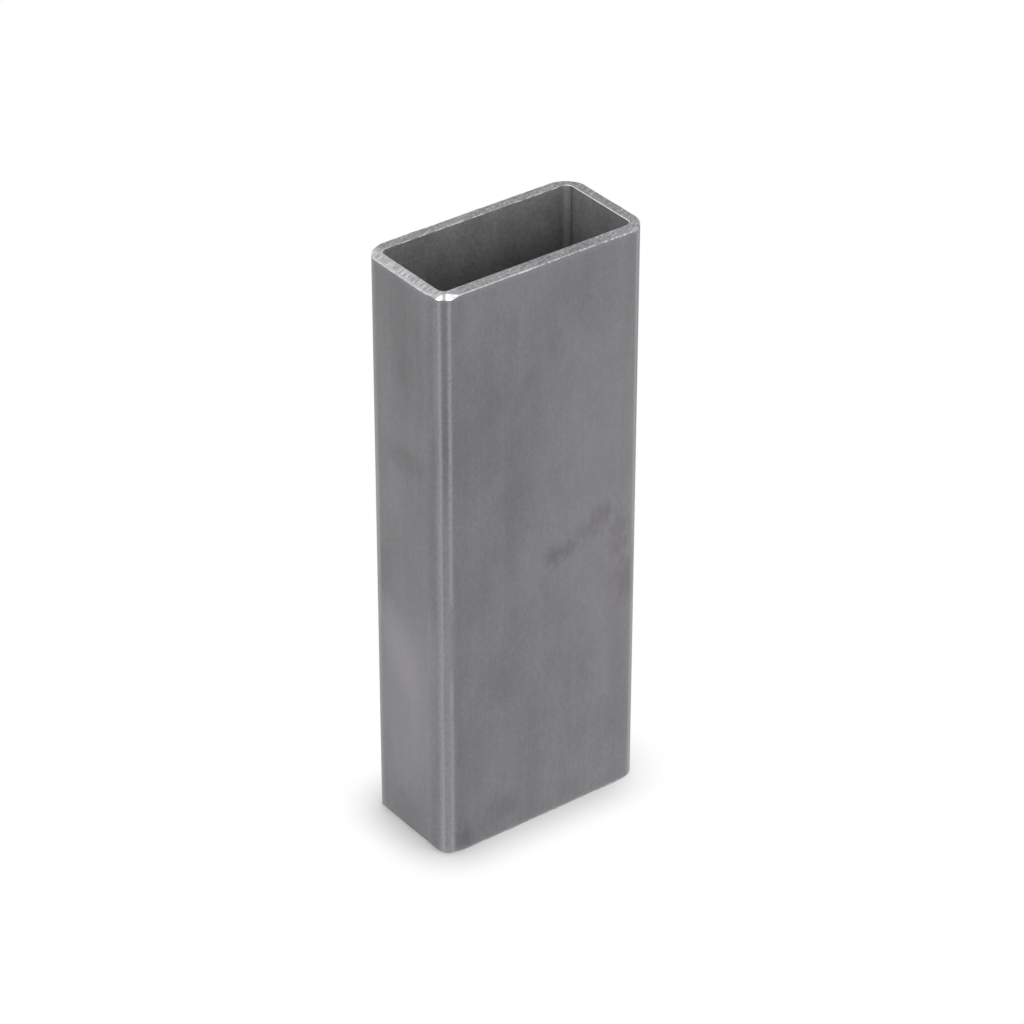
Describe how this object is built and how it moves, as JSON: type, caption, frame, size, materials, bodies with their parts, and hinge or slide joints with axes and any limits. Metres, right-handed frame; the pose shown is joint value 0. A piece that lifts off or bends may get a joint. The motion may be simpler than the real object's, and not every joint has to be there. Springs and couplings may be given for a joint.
{
  "type": "rectangular hollow section",
  "caption": "Short sawn length of rectangular steel hollow section with rounded corners, open at both ends, standing on a cut end.",
  "frame": {"origin": "middle of the lower cut end, on the floor", "axes": "+Z along the tube, X across the wide faces, Y across the narrow faces"},
  "size_m": [0.06, 0.03, 0.155],
  "materials": {
    "mill_steel": "bare rolled steel, satin, faint lengthwise drawing lines, bright deburred edges and saw marks on the cut ends"
  },
  "bodies": {
    "root": {"hollow_section": "mill_steel"}
  },
  "joints": []
}
